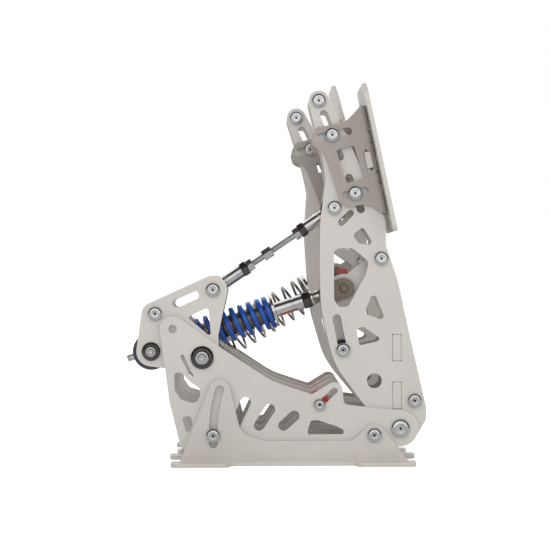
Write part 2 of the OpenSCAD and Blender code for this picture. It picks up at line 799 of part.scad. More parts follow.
module brake_turnbuckle() brake() color(steel_colour) along(rocker_link, link_angle) {
    far = link_len - rear_reach;
    mid = link_len / 2 - 5.5;
    translate([0, 0, front_reach]) cylinder(h = far - front_reach, d = stud_d);
    hexagon(front_reach, front_reach + 3, barrel_d - 0.5);
    hexagon(front_reach + 3.4, front_reach + 9, barrel_d);
    hexagon(mid - 5.5, mid + 5.5, 8.2);
    hexagon(far - 9, far - 3.4, barrel_d);
    hexagon(far - 3, far, barrel_d - 0.5);
}

// Brake strut: a drum that turns in the rocker, the rod and clevis that slide in it,
// and the die spring between their two seats
drum_half = arm_y - 0.3;
seat_r = spring_d / 2 - 0.3;
seat_t = 3;
rod_r = rod_d / 2;
drum_washer_r = 6.8;

module brake_drum() brake() color(slate_colour) difference() {
    union() {
        bar(rocker_strut, -drum_half, drum_half, drum_r);
        bar(rocker_strut, -arm_y - sheet, arm_y + sheet, bolt_r);
        for (side = [-1, 1]) nut_end(rocker_strut, side, arm_y + sheet, drum_washer_r, 3.4);
        along(rocker_strut, strut_angle) translate([0, 0, seat_out - seat_t]) cylinder(h = seat_t, r = seat_r);
    }
    along(rocker_strut, strut_angle) translate([0, 0, -2 * drum_r]) cylinder(h = 4 * drum_r, r = rod_r + fit);
}

// Height of a closed-ended coil at t turns along, middle of the wire
function coil_rise(t, turns, travel, closed) =
    t < 1 ? closed * t
    : t > turns - 1 ? travel - closed * (turns - t)
    : closed + (t - 1) * (travel - 2 * closed) / (turns - 2);
function coil_points(length, radius, w, h, turns, gap) = [
    for (i = [0:turns * 8])
        let (a = 45 * i, z = h / 2 + coil_rise(i / 8, turns, length - h, h + gap))
        [for (q = [[1, -0.6], [1, 0.6], [0, 1], [-1, 0.6], [-1, -0.6], [0, -1]])
            let (r = radius + q[0] * w / 2)
            [r * cos(a), r * sin(a), z + q[1] * h / 2]]
];
function coil_gap(rings) = min([
    for (i = [0:len(rings) - 9]) each [for (p = rings[i]) each [for (q = rings[i + 8]) norm(p - q)]]
]);

module coil(length, outer, w, h, turns, gap = 0.6) {
    rings = coil_points(length, (outer - w) / 2, w, h, turns, gap);
    count = len(rings);
    echo(least_gap = coil_gap(rings));
    polyhedron(
        points = [for (ring = rings) each ring],
        faces = concat(
            [for (i = [0:count - 2], j = [0:5]) each
                let (a = 6 * i + j, b = 6 * i + (j + 1) % 6)
                [[a, b, a + 6], [b, b + 6, a + 6]]],
            [for (j = [1:4]) [0, j + 1, j]],
            [for (j = [1:4]) [6 * count - 6, 6 * count - 6 + j, 6 * count - 6 + j + 1]]
        )
    );
}

spring_seat_gap = 0.05;
module brake_spring() brake() color(blue_colour) {
    along(rocker_strut, strut_angle) translate([0, 0, seat_out + spring_seat_gap])
        coil(spring_len - 2 * spring_seat_gap, spring_d, spring_wire_w, spring_wire_h, spring_turns);
}

far_seat = seat_out + spring_len;
seat_washer_t = 2;
clevis_gap = 0.3;
clevis_ear = 3;
sleeve_r = spring_d / 2 - spring_wire_w - 0.9;
stroke = 9;
module brake_rod() brake() color(steel_colour) along(rocker_strut, strut_angle) {
    translate([0, 0, -rod_tail]) cylinder(h = far_seat + rod_tail + 1, r = rod_r);
    translate([0, 0, far_seat]) cylinder(h = seat_washer_t, r = seat_r);
}

module brake_sleeve() brake() color(steel_colour) along(rocker_strut, strut_angle) {
    translate([0, 0, seat_out + stroke]) difference() {
        cylinder(h = spring_len - stroke, r = sleeve_r);
        translate([0, 0, -1]) cylinder(h = spring_len - stroke + 2, r = rod_r + fit);
    }
}

tube_len = 22;
strut_nut_t = 6;
nut_from = far_seat + seat_washer_t + tube_len;
module brake_tube() brake() color(steel_colour) along(rocker_strut, strut_angle) {
    translate([0, 0, far_seat + seat_washer_t]) cylinder(h = tube_len, d = 11.2);
}

module brake_strut_nut() brake() color(dark_colour) along(rocker_strut, strut_angle) {
    hexagon(nut_from, nut_from + strut_nut_t, 12);
}

clevis_neck_d = 9.8;
clevis_wall = 4.5;
// A forked end for a strut, with its pin through both ears
module clevis(length, from_z, neck_d) {
    inner = lug_t / 2 + clevis_gap;
    difference() {
        union() {
            translate([0, 0, from_z]) cylinder(h = length - from_z - 12, d = neck_d);
            translate([-clevis_r, -inner - clevis_ear, length - 14])
                cube([2 * clevis_r, 2 * (inner + clevis_ear), 14]);
            rotate([90, 0, 0]) translate([0, length, -inner - clevis_ear])
                cylinder(h = 2 * (inner + clevis_ear), r = clevis_r);
        }
        translate([-2 * clevis_r, -inner, length - 11.6]) cube([4 * clevis_r, 2 * inner, 40]);
        for (x = [-2 * clevis_r, clevis_wall])
            translate([x, -inner, length - 15]) cube([2 * clevis_r - clevis_wall, 2 * inner, 10]);
    }
    rotate([90, 0, 0]) translate([0, length, -inner - clevis_ear - 1])
        cylinder(h = 2 * (inner + clevis_ear + 1), r = strut_pin_r);
}

module brake_clevis() brake() color(bronze_colour) along(rocker_strut, strut_angle) {
    clevis(strut_len, nut_from + strut_nut_t, clevis_neck_d);
}

// Throttle strut: the same layout with a trunnion held between the frame plates
module throttle_trunnion() throttle() color(slate_colour) difference() {
    union() {
        bar(rocker, -frame_y + 0.3, frame_y - 0.3, 9);
        bar(rocker, -frame_y - sheet, frame_y + sheet, shaft_r);
        for (side = [-1, 1]) nut_end(rocker, side, frame_y + sheet, 8.4, 4.6);
        along(rocker, throttle_angle) {
            translate([0, 0, seat_out - seat_t]) cylinder(h = seat_t, d = coil_d);
            cylinder(h = seat_out, r = 7);
        }
    }
    along(rocker, throttle_angle) translate([0, 0, -40]) cylinder(h = 80, r = rod_r + fit);
}

module throttle_spring() throttle() color(steel_colour) {
    along(rocker, throttle_angle) translate([0, 0, seat_out + spring_seat_gap])
        coil(coil_len - 2 * spring_seat_gap, coil_d, coil_wire, coil_wire, coil_turns);
}

module throttle_rod() throttle() color(steel_colour) along(rocker, throttle_angle) {
    end = seat_out + coil_len;
    translate([0, 0, -rod_tail]) cylinder(h = end + rod_tail + 1, r = rod_r);
    translate([0, 0, end]) cylinder(h = seat_washer_t, d = coil_d);
}

module throttle_clevis() throttle() color(bronze_colour) along(rocker, throttle_angle) {
    clevis(throttle_len, seat_out + coil_len + seat_washer_t, clevis_neck_d);
}

brake_base_near();
brake_base_far();
throttle_base_near();
throttle_base_far();
brake_tilt_bolts();
throttle_tilt_bolts();
brake_frame_near();
brake_frame_far();
brake_lock_bolts();
brake_axle();
brake_rocker_pins();
brake_stop_bolt();
brake_stop_rubber();
brake_arm_near();
brake_arm_far();
brake_arm_hub();
brake_cross_plate();
brake_arm_bolts();
brake_load_cell();
brake_arm_rubber();
brake_plug();
brake_clamp_bolts();
brake_foot_bracket();
brake_foot_plate();
brake_rocker_near();
brake_rocker_far();
brake_rocker_bolts();
brake_front_eye();
brake_rear_eye();
brake_turnbuckle();
brake_drum();
brake_spring();
brake_rod();
brake_sleeve();
brake_tube();
brake_strut_nut();
brake_clevis();
throttle_frame_near();
throttle_frame_far();
throttle_lock_bolts();
throttle_axle();
throttle_stop_bolt();
throttle_stop_rubber();
throttle_arm_near();
throttle_arm_far();
throttle_arm_hub();
throttle_cross_plate();
throttle_arm_bolts();
throttle_lug();
throttle_clamp_bolts();
throttle_foot_bracket();
throttle_foot_plate();
throttle_trunnion();
throttle_spring();
throttle_rod();
throttle_clevis();
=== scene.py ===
import bmesh
import bpy
import json
import math
from mathutils import Matrix, Vector


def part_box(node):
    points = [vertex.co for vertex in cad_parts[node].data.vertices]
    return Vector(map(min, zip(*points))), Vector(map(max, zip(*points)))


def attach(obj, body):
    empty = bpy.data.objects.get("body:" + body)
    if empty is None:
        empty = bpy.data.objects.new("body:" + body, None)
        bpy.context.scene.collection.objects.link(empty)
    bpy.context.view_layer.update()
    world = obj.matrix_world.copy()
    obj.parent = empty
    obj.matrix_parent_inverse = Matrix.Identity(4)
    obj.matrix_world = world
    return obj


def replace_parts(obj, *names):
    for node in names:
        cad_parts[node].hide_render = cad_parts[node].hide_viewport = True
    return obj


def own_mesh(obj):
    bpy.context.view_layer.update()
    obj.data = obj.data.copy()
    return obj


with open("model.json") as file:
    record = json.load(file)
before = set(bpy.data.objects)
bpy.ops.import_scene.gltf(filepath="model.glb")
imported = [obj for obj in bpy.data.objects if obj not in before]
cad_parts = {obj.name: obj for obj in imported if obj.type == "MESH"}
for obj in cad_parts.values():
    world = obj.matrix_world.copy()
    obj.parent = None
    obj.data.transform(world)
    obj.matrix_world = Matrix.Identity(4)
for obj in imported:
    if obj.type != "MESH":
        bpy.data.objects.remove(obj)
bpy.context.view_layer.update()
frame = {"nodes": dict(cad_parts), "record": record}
joints = {joint["name"]: joint for joint in frame["record"]["behaviour"]["joints"]}
print("frame loaded:", len(frame["nodes"]), "nodes")


# The camera looks straight along +Y, a little behind the middle of the base
view = {
    "place": (-0.018, -1.0935, 0.1404),
    "angle": 21.34,  # degrees across the picture
    "shift": 0.0127,
    "roll": 0.25,
}


def makeCamera():
    data = bpy.data.cameras.new("camera")
    data.sensor_fit = "HORIZONTAL"
    data.angle = math.radians(view["angle"])
    data.shift_x = view["shift"]
    data.clip_start = 0.01
    data.clip_end = 20
    camera = bpy.data.objects.new("camera", data)
    camera.location = view["place"]
    camera.rotation_euler = (math.radians(90), math.radians(view["roll"]), 0)
    bpy.context.scene.collection.objects.link(camera)
    bpy.context.scene.camera = camera
    bpy.context.scene.view_settings.view_transform = "Standard"


makeCamera()


# Shader helpers: a tree starts with its own output, and links are made by name
def newMaterial(name):
    material = bpy.data.materials.new(name)
    material.use_nodes = True
    tree = material.node_tree
    tree.nodes.clear()
    out = tree.nodes.new("ShaderNodeOutputMaterial")
    return material, tree, out


def addNode(tree, kind, place=(0, 0), **values):
    node = tree.nodes.new(kind)
    node.location = place
    for key, value in values.items():
        if hasattr(node, key):
            setattr(node, key, value)
        else:
            node.inputs[key.replace("_", " ")].default_value = value
    return node


def groupSockets(group, inputs, outputs):
    for name, kind, value in inputs:
        socket = group.interface.new_socket(name=name, in_out="INPUT", socket_type=kind)
        socket.default_value = value
    for name, kind in outputs:
        group.interface.new_socket(name=name, in_out="OUTPUT", socket_type=kind)


# The colour sockets of a Mix node, which share their names with its other kinds
mixFirst = 6
mixSecond = 7
mixResult = 2
fineShare = 0.45
cloudShare = 0.55


# Fine blasted grain with soft cloudy wear, shared by every metal
def makeGrainGroup():
    group = bpy.data.node_groups.new("metalGrain", "ShaderNodeTree")
    groupSockets(group, [("Grain size", "NodeSocketFloat", 900.0), ("Stretch", "NodeSocketFloat", 1.0),
                         ("Bump", "NodeSocketFloat", 0.1), ("Cloud size", "NodeSocketFloat", 22.0),
                         ("Colour", "NodeSocketColor", (0.5, 0.5, 0.5, 1)),
                         ("Colour worn", "NodeSocketColor", (0.6, 0.6, 0.6, 1)),
                         ("Roughness", "NodeSocketFloat", 0.4),
                         ("Roughness spread", "NodeSocketFloat", 0.1)],
                 [("Colour", "NodeSocketColor"), ("Roughness", "NodeSocketFloat"),
                  ("Normal", "NodeSocketVector")])
    start = addNode(group, "NodeGroupInput", (-1200, 0))
    end = addNode(group, "NodeGroupOutput", (700, 0))
    coords = addNode(group, "ShaderNodeTexCoord", (-1200, 300))
    stretch = addNode(group, "ShaderNodeCombineXYZ", (-1000, 100), X=1.0, Z=1.0)
    group.links.new(start.outputs["Stretch"], stretch.inputs["Y"])
    scaled = addNode(group, "ShaderNodeVectorMath", (-800, 200), operation="MULTIPLY")
    group.links.new(coords.outputs["Object"], scaled.inputs[0])
    group.links.new(stretch.outputs[0], scaled.inputs[1])
    fine = addNode(group, "ShaderNodeTexNoise", (-600, 200), Detail=3.0)
    group.links.new(scaled.outputs[0], fine.inputs["Vector"])
    group.links.new(start.outputs["Grain size"], fine.inputs["Scale"])
    cloud = addNode(group, "ShaderNodeTexNoise", (-600, -100), Detail=4.0)
    group.links.new(coords.outputs["Object"], cloud.inputs["Vector"])
    group.links.new(start.outputs["Cloud size"], cloud.inputs["Scale"])
    spread = addNode(group, "ShaderNodeMapRange", (-400, -100), From_Min=0.35, From_Max=0.65)
    group.links.new(cloud.outputs["Fac"], spread.inputs["Value"])
    speck = addNode(group, "ShaderNodeMapRange", (-400, 150), From_Min=0.3, From_Max=0.7)
    group.links.new(fine.outputs["Fac"], speck.inputs["Value"])
    wear = addNode(group, "ShaderNodeMath", (-200, 0), operation="MULTIPLY_ADD")
    wear.inputs[1].default_value = fineShare
    group.links.new(speck.outputs[0], wear.inputs[0])
    cloudPart = addNode(group, "ShaderNodeMath", (-300, -250), operation="MULTIPLY")
    cloudPart.inputs[1].default_value = cloudShare
    group.links.new(spread.outputs[0], cloudPart.inputs[0])
    group.links.new(cloudPart.outputs[0], wear.inputs[2])
    mix = addNode(group, "ShaderNodeMix", (0, 150), data_type="RGBA")
    group.links.new(wear.outputs[0], mix.inputs["Factor"])
    group.links.new(start.outputs["Colour"], mix.inputs[mixFirst])
    group.links.new(start.outputs["Colour worn"], mix.inputs[mixSecond])
    group.links.new(mix.outputs[mixResult], end.inputs["Colour"])
    rough = addNode(group, "ShaderNodeMath", (0, -100), operation="MULTIPLY_ADD")
    group.links.new(wear.outputs[0], rough.inputs[0])
    group.links.new(start.outputs["Roughness spread"], rough.inputs[1])
    group.links.new(start.outputs["Roughness"], rough.inputs[2])
    group.links.new(rough.outputs[0], end.inputs["Roughness"])
    bump = addNode(group, "ShaderNodeBump", (300, -200), Distance=0.0002)
    group.links.new(start.outputs["Bump"], bump.inputs["Strength"])
    group.links.new(fine.outputs["Fac"], bump.inputs["Height"])
    group.links.new(bump.outputs[0], end.inputs["Normal"])
    return group


# Painted highlight along the cut edge of a sheet: where the rounded normal leaves the flat one
def makeEdgeHighlightGroup():
    group = bpy.data.node_groups.new("paintedEdgeHighlight", "ShaderNodeTree")
    groupSockets(group, [("Colour", "NodeSocketColor", (0.5, 0.5, 0.5, 1)),
                         ("Highlight colour", "NodeSocketColor", (0.9, 0.9, 0.9, 1)),
                         ("Edge width", "NodeSocketFloat", 0.00045), ("Strength", "NodeSocketFloat", 0.6)],
                 [("Colour", "NodeSocketColor")])
    start = addNode(group, "NodeGroupInput", (-900, 0))
    end = addNode(group, "NodeGroupOutput", (500, 0))
    bevel = addNode(group, "ShaderNodeBevel", (-650, -100), samples=6)
    group.links.new(start.outputs["Edge width"], bevel.inputs["Radius"])
    flat = addNode(group, "ShaderNodeNewGeometry", (-650, -300))
    dot = addNode(group, "ShaderNodeVectorMath", (-450, -150), operation="DOT_PRODUCT")
    group.links.new(bevel.outputs["Normal"], dot.inputs[0])
    group.links.new(flat.outputs["Normal"], dot.inputs[1])
    highlightMask = addNode(group, "ShaderNodeMapRange", (-250, -150), From_Min=1.0, From_Max=0.9)
    group.links.new(dot.outputs["Value"], highlightMask.inputs["Value"])
    amount = addNode(group, "ShaderNodeMath", (-50, -150), operation="MULTIPLY")
    group.links.new(highlightMask.outputs[0], amount.inputs[0])
    group.links.new(start.outputs["Strength"], amount.inputs[1])
    mix = addNode(group, "ShaderNodeMix", (200, 0), data_type="RGBA")
    group.links.new(amount.outputs[0], mix.inputs["Factor"])
    group.links.new(start.outputs["Colour"], mix.inputs[mixFirst])
    group.links.new(start.outputs["Highlight colour"], mix.inputs[mixSecond])
    group.links.new(mix.outputs[mixResult], end.inputs["Colour"])
    return group


grainGroup = makeGrainGroup()
edgeHighlightGroup = makeEdgeHighlightGroup()


def srgb(red, green, blue):
    def linear(value):
        value /= 255
        return value / 12.92 if value <= 0.04045 else ((value + 0.055) / 1.055) ** 2.4
    return (linear(red), linear(green), linear(blue), 1)


# Each finish: its fresh and worn colours (sRGB), how far it is metal, its roughness with the spread of
# that, and the size, stretch and height of its grain and the size of its clouds
finishes = {
    "plate": {"colour": (205, 200, 194), "worn": (219, 215, 209), "metallic": 0.35, "rough": 0.36,
              "spread": 0.12, "grain": 1500, "stretch": 1, "bump": 0.1, "cloud": 14},
    "bracket": {"colour": (200, 195, 188), "worn": (217, 212, 206), "metallic": 0.35, "rough": 0.36,
                "spread": 0.12, "grain": 1400, "stretch": 1, "bump": 0.1, "cloud": 12},
    "ear": {"colour": (164, 157, 150), "worn": (182, 175, 168), "metallic": 0.5, "rough": 0.34,
            "spread": 0.12, "grain": 1400, "stretch": 1, "bump": 0.12, "cloud": 14},
    "fixing": {"colour": (212, 212, 213), "worn": (238, 238, 238), "metallic": 1, "rough": 0.1,
               "spread": 0.08, "grain": 700, "stretch": 4, "bump": 0.04, "cloud": 60},
    "chrome": {"colour": (214, 210, 208), "worn": (240, 238, 236), "metallic": 1, "rough": 0.07,
               "spread": 0.07, "grain": 500, "stretch": 1, "bump": 0.02, "cloud": 50},
    "dark_steel": {"colour": (88, 84, 82), "worn": (126, 122, 119), "metallic": 1, "rough": 0.2,
                   "spread": 0.14, "grain": 800, "stretch": 1, "bump": 0.08, "cloud": 60},
    "slate": {"colour": (60, 68, 78), "worn": (86, 94, 104), "metallic": 0.5, "rough": 0.36,
              "spread": 0.14, "grain": 900, "stretch": 1, "bump": 0.1, "cloud": 50},
    "bronze": {"colour": (112, 101, 92), "worn": (150, 138, 127), "metallic": 0.9, "rough": 0.26,
               "spread": 0.14, "grain": 900, "stretch": 1, "bump": 0.1, "cloud": 50},
    "blue_spring": {"colour": (1, 56, 140), "worn": (6, 84, 176), "metallic": 0.1, "rough": 0.24,
                    "spread": 0.1, "grain": 700, "stretch": 1, "bump": 0.05, "cloud": 40},
    "wire": {"colour": (122, 118, 112), "worn": (176, 173, 168), "metallic": 1, "rough": 0.14,
             "spread": 0.1, "grain": 900, "stretch": 1, "bump": 0.05, "cloud": 70},
    "red_rubber": {"colour": (186, 44, 30), "worn": (214, 74, 56), "metallic": 0, "rough": 0.5,
                   "spread": 0.2, "grain": 1100, "stretch": 1, "bump": 0.3, "cloud": 60},
    # The next finish is painted shade: the flat dark colour of the dishes and gaps that stand in for the
    # shade in holes, notches and slits
    "painted_shade": {"colour": (26, 25, 25), "worn": (44, 42, 41), "metallic": 0, "rough": 0.6,
               "spread": 0.1, "grain": 900, "stretch": 1, "bump": 0.05, "cloud": 60},
    "black_rubber": {"colour": (24, 24, 25), "worn": (44, 44, 45), "metallic": 0, "rough": 0.55,
                     "spread": 0.2, "grain": 1100, "stretch": 1, "bump": 0.3, "cloud": 60},
    "plug": {"colour": (150, 34, 28), "worn": (176, 56, 46), "metallic": 0, "rough": 0.36,
             "spread": 0.16, "grain": 900, "stretch": 1, "bump": 0.1, "cloud": 80},
}
sheetFinishes = ("plate", "bracket", "ear")
edgeHighlightLift = 34  # how much brighter the painted highlight on a sheet's cut edge is than its worn face
coatedFinishes = ("blue_spring", "plug")
coat = {"weight": 0.5, "roughness": 0.1}
otherFinish = {"brake_foot_bracket": "ear", "throttle_foot_bracket": "ear",
               "brake_load_cell": "plate", "throttle_lug": "plate"}


def makeFinish(name, look):
    material, tree, out = newMaterial(name)
    shader = addNode(tree, "ShaderNodeBsdfPrincipled", (200, 0))
    shader.inputs["Metallic"].default_value = look["metallic"]
    if name in coatedFinishes:
        shader.inputs["Coat Weight"].default_value = coat["weight"]
        shader.inputs["Coat Roughness"].default_value = coat["roughness"]
    grain = addNode(tree, "ShaderNodeGroup", (-200, 0))
    grain.node_tree = grainGroup
    values = {"Grain size": look["grain"], "Stretch": look["stretch"], "Bump": look["bump"],
              "Cloud size": look["cloud"], "Colour": srgb(*look["colour"]),
              "Colour worn": srgb(*look["worn"]), "Roughness": look["rough"],
              "Roughness spread": look["spread"]}
    for socket, value in values.items():
        grain.inputs[socket].default_value = value
    # Sheets get a painted highlight along their cut edges, mixed over the grain's colour
    if name in sheetFinishes:
        edge = addNode(tree, "ShaderNodeGroup", (-20, 150))
        edge.node_tree = edgeHighlightGroup
        highlightColour = (min(255, value + edgeHighlightLift) for value in look["worn"])
        edge.inputs["Highlight colour"].default_value = srgb(*highlightColour)
        tree.links.new(grain.outputs["Colour"], edge.inputs["Colour"])
        tree.links.new(edge.outputs["Colour"], shader.inputs["Base Color"])
    else:
        tree.links.new(grain.outputs["Colour"], shader.inputs["Base Color"])
    tree.links.new(grain.outputs["Roughness"], shader.inputs["Roughness"])
    tree.links.new(grain.outputs["Normal"], shader.inputs["Normal"])
    tree.links.new(shader.outputs[0], out.inputs[0])
    return material


materials = {name: makeFinish(name, look) for name, look in finishes.items()}
for part in frame["record"]["subparts"]:
    node = frame["nodes"][part["node"]]
    node.data.materials.clear()
    node.data.materials.append(materials[otherFinish.get(part["node"], part["material_slot"])])
print("finishes made:", len(materials))


# Places in metres. The record gives the pivots, and the rest follows from them
def pivot(name):
    return Vector(joints[name]["pos_m"])


rockerLink = pivot("brake_rocker") + Vector((0.008, 0, 0.050))
brakeStrutPin = pivot("brake_pedal") + Vector((-0.0407, 0, 0.1037))
throttlePinOnArm = Vector((-0.0364, 0, 0.115))
armLean = {"brake": 0, "throttle": math.radians(3.6)}
fold = {
    "place": Vector((-0.0174, 0, 0.2042)),  # its middle on the foot bracket, from the pedal's pivot
    "lean": math.radians(11.7),
    "notchDepth": -0.0017,
    "notchHeights": (0.0163, 0.0080, -0.0140, -0.0223),  # up the web from the fold's middle
}


# Where a pedal arm's own frame starts and how it turns, on the arm or on its foot bracket's fold
def armFrame(module, onFold=False):
    turn = Matrix.Rotation(-armLean[module], 3, "Y")
    origin = pivot(module + "_pedal")
    if onFold:
        return origin + turn @ fold["place"], turn @ Matrix.Rotation(-fold["lean"], 3, "Y")
    return origin, turn


throttleStrutPin = pivot("throttle_pedal") + armFrame("throttle")[1] @ throttlePinOnArm
bodyOf = {name: body for body, names in frame["record"]["behaviour"]["bodies"].items() for name in names}


def acrossPair(direction):
    side = Vector((0, 1, 0))
    if abs(direction.dot(side)) > 0.9:
        side = Vector((1, 0, 0))
    first = side.cross(direction).normalized()
    return first, direction.cross(first).normalized()


def addPiece(name, mesh, body, slot, smooth=True):
    piece = bpy.data.objects.new(name, mesh)
    bpy.context.scene.collection.objects.link(piece)
    mesh.materials.clear()
    mesh.materials.append(materials[slot])
    if smooth:
        mesh.polygons.foreach_set("use_smooth", [True] * len(mesh.polygons))
    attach(piece, body)
    return piece


# Rings of equal count become one closed skin, with a pole at each end
def skinRings(name, rings, startPole=None, endPole=None):
    bm = bmesh.new()
    rows = [[bm.verts.new(point) for point in ring] for ring in rings]
    count = len(rows[0])
    for low, high in zip(rows, rows[1:]):
        for i in range(count):
            j = (i + 1) % count
            bm.faces.new((low[i], low[j], high[j], high[i]))
    for row, pole in ((rows[0], startPole), (rows[-1], endPole)):
        if pole is None:
            bm.faces.new(row)
        else:
            tip = bm.verts.new(pole)
            for i in range(count):
                bm.faces.new((row[i], row[(i + 1) % count], tip))
    bmesh.ops.recalc_face_normals(bm, faces=bm.faces)
    mesh = bpy.data.meshes.new(name)
    bm.to_mesh(mesh)
    bm.free()
    return mesh


def hexRadius(apothem, angle):
    return apothem / math.cos((angle + math.pi / 6) % (math.pi / 3) - math.pi / 6)


# One ring of a turned shape: round, or hexagonal with its corners turned down to a round limit
def turnedRing(start, direction, radius, height, count, across=None):
    first, second = acrossPair(direction)
    ring = []
    for i in range(count):
        angle = 2 * math.pi * i / count
        reach = radius if across is None else min(radius, hexRadius(across, angle))
        out = first * math.cos(angle) + second * math.sin(angle)
        ring.append(start + direction * height + out * reach)
    return ring


# A turned piece: rows of (height, radius) or (height, radius, half the width across the flats)
def turnPiece(name, start, direction, rows, count=48):
    rings = [turnedRing(start, direction, row[1], row[0], count, *row[2:]) for row in rows]
    return skinRings(name, rings, start + direction * rows[0][0], start + direction * rows[-1][0])


def millimetres(rows):
    return [tuple(value * 0.001 for value in row) for row in rows]


def sharpen(mesh, degrees):
    mesh.set_sharp_from_angle(angle=math.radians(degrees))


# Springs: a swept wire with closed ends, along its strut. Seat and far are what the strut's ends take up of
# its length, and corner says how square the wire is
springs = {
    "brake": {"start": "brake_drum", "end": brakeStrutPin, "seat": 0.01505, "far": 0.05605, "outer": 0.0252,
              "wire": 0.0042, "height": 0.0036, "turns": 12, "corner": 4.5, "joint": "brake_plunger",
              "body": "brake_drum", "slot": "blue_spring", "node": "brake_spring"},
    "throttle": {"start": "throttle_trunnion", "end": throttleStrutPin, "seat": 0.01505, "far": 0.02405,
                 "outer": 0.0292, "wire": 0.0021, "height": 0.0021, "turns": 10, "corner": 2,
                 "joint": "throttle_plunger", "body": "throttle_trunnion", "slot": "wire",
                 "node": "throttle_spring"},
}
springSteps = 36
springSides = 20
springSharp = 50  # degrees
endGap = 0.0006  # between the closed turns at each end


# How far up the wire is after t turns: close together at both ends, evenly open between
def springRise(t, turns, travel, closed):
    if t < 1:
        return closed * t
    if t > turns - 1:
        return travel - closed * (turns - t)
    return closed + (t - 1) * (travel - 2 * closed) / (turns - 2)


def makeSpring(side, look):
    start = pivot(look["start"])
    line = look["end"] - start
    direction = line.normalized()
    length = line.length - look["seat"] - look["far"]
    first, second = acrossPair(direction)
    foot = start + direction * look["seat"]
    middle = (look["outer"] - look["wire"]) / 2
    rings = []
    for i in range(look["turns"] * springSteps + 1):
        t = i / springSteps
        angle = 2 * math.pi * t
        out = first * math.cos(angle) + second * math.sin(angle)
        rise = springRise(t, look["turns"], length - look["height"], look["height"] + endGap)
        ring = []
        for j in range(springSides):
            turn = 2 * math.pi * j / springSides
            c, s = math.cos(turn), math.sin(turn)
            push = (abs(c) ** look["corner"] + abs(s) ** look["corner"]) ** (-1 / look["corner"])
            ring.append(foot + out * (middle + c * push * look["wire"] / 2)
                        + direction * (look["height"] / 2 + rise + s * push * look["height"] / 2))
        rings.append(ring)
    mesh = skinRings(side + "SpringWire", rings)
    piece = addPiece(side + "_spring_wire", mesh, look["body"], look["slot"])
    sharpen(mesh, springSharp)
    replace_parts(piece, look["node"])
    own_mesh(piece)


for side, look in springs.items():
    makeSpring(side, look)
print("springs made")


# Bolt heads: one shape, set on every bolt end of a body by a tree of geometry nodes
headShape = {"radius": 0.00525, "height": 0.0026, "count": 48, "sharp": 32}


# A button head with a hexagon socket, as rows from its foot up the dome and down to the socket's floor
headRows = [(0.03, 5.34), (0.25, 5.42), (1.15, 5.42), (1.6, 5.26), (2.05, 4.86), (2.4, 4.3), (2.62, 3.7),
            (2.72, 3.1), (2.72, 2.55), (2.64, 2.35, 1.95), (2.4, 2.2, 1.71), (1.22, 2.2, 1.7)]
socketFloor = 0.00118


def makeHeadMesh():
    origin = Vector((0, 0, 0))
    up = Vector((0, 0, 1))
    rows = millimetres(headRows)
    rings = [turnedRing(origin, up, row[1], row[0], headShape["count"], *row[2:]) for row in rows]
    mesh = skinRings("headShape", rings, up * rows[0][0], up * socketFloor)
    mesh.polygons.foreach_set("use_smooth", [True] * len(mesh.polygons))
    sharpen(mesh, headShape["sharp"])
    return mesh


# The tree: its shape stands on every point, turned and widened as the point says
def makeBoltEndsTree():
    tree = bpy.data.node_groups.new("boltEnds", "GeometryNodeTree")
    tree.interface.new_socket(name="Ends", in_out="INPUT", socket_type="NodeSocketGeometry")
    tree.interface.new_socket(name="Shape", in_out="INPUT", socket_type="NodeSocketObject")
    size = tree.interface.new_socket(name="Size", in_out="INPUT", socket_type="NodeSocketFloat")
    size.default_value = 1.0
    tree.interface.new_socket(name="Finish", in_out="INPUT", socket_type="NodeSocketMaterial")
    tree.interface.new_socket(name="Geometry", in_out="OUTPUT", socket_type="NodeSocketGeometry")
    start = addNode(tree, "NodeGroupInput", (-800, 0))
    end = addNode(tree, "NodeGroupOutput", (800, 0))
    shape = addNode(tree, "GeometryNodeObjectInfo", (-500, -150))
    turn = addNode(tree, "GeometryNodeInputNamedAttribute", (-500, -400), data_type="FLOAT_VECTOR")
    turn.inputs["Name"].default_value = "turn"
    width = addNode(tree, "GeometryNodeInputNamedAttribute", (-500, -550), data_type="FLOAT_VECTOR")
    width.inputs["Name"].default_value = "width"
    scaled = addNode(tree, "ShaderNodeVectorMath", (-300, -500), operation="SCALE")
    rotation = addNode(tree, "FunctionNodeEulerToRotation", (-300, -350))
    place = addNode(tree, "GeometryNodeInstanceOnPoints", (0, 0))
    real = addNode(tree, "GeometryNodeRealizeInstances", (250, 0))
    paint = addNode(tree, "GeometryNodeSetMaterial", (500, 0))
    link = tree.links.new
    link(start.outputs["Ends"], place.inputs["Points"])
    link(start.outputs["Shape"], shape.inputs["Object"])
    link(shape.outputs["Geometry"], place.inputs["Instance"])
    link(turn.outputs["Attribute"], rotation.inputs["Euler"])
    link(rotation.outputs["Rotation"], place.inputs["Rotation"])
    link(width.outputs["Attribute"], scaled.inputs[0])
    link(start.outputs["Size"], scaled.inputs["Scale"])
    link(scaled.outputs["Vector"], place.inputs["Scale"])
    link(place.outputs["Instances"], real.inputs["Geometry"])
    link(real.outputs["Geometry"], paint.inputs["Geometry"])
    link(start.outputs["Finish"], paint.inputs["Material"])
    link(paint.outputs["Geometry"], end.inputs["Geometry"])
    return tree


boltEndsTree = makeBoltEndsTree()


samePlace = 1e-6  # points this close count as one


# The separate solids of a CAD node, each as its points, in the order that the mesh has them
def solidsOf(node):
    bm = bmesh.new()
    bm.from_mesh(frame["nodes"][node].data)
    bmesh.ops.remove_doubles(bm, verts=bm.verts, dist=samePlace)
    seen = set()
    solids = []
    for first in bm.verts:
        if first in seen:
            continue
        seen.add(first)
        stack = [first]
        points = []
        while stack:
            vert = stack.pop()
            points.append(vert.co.copy())
            for edge in vert.link_edges:
                other = edge.other_vert(vert)
                if other not in seen:
                    seen.add(other)
                    stack.append(other)
        solids.append(points)
    bm.free()
    return solids


smallestHead = 0.0042
nearby = 1e-5  # what a point may lie past the head's foot and still count to it


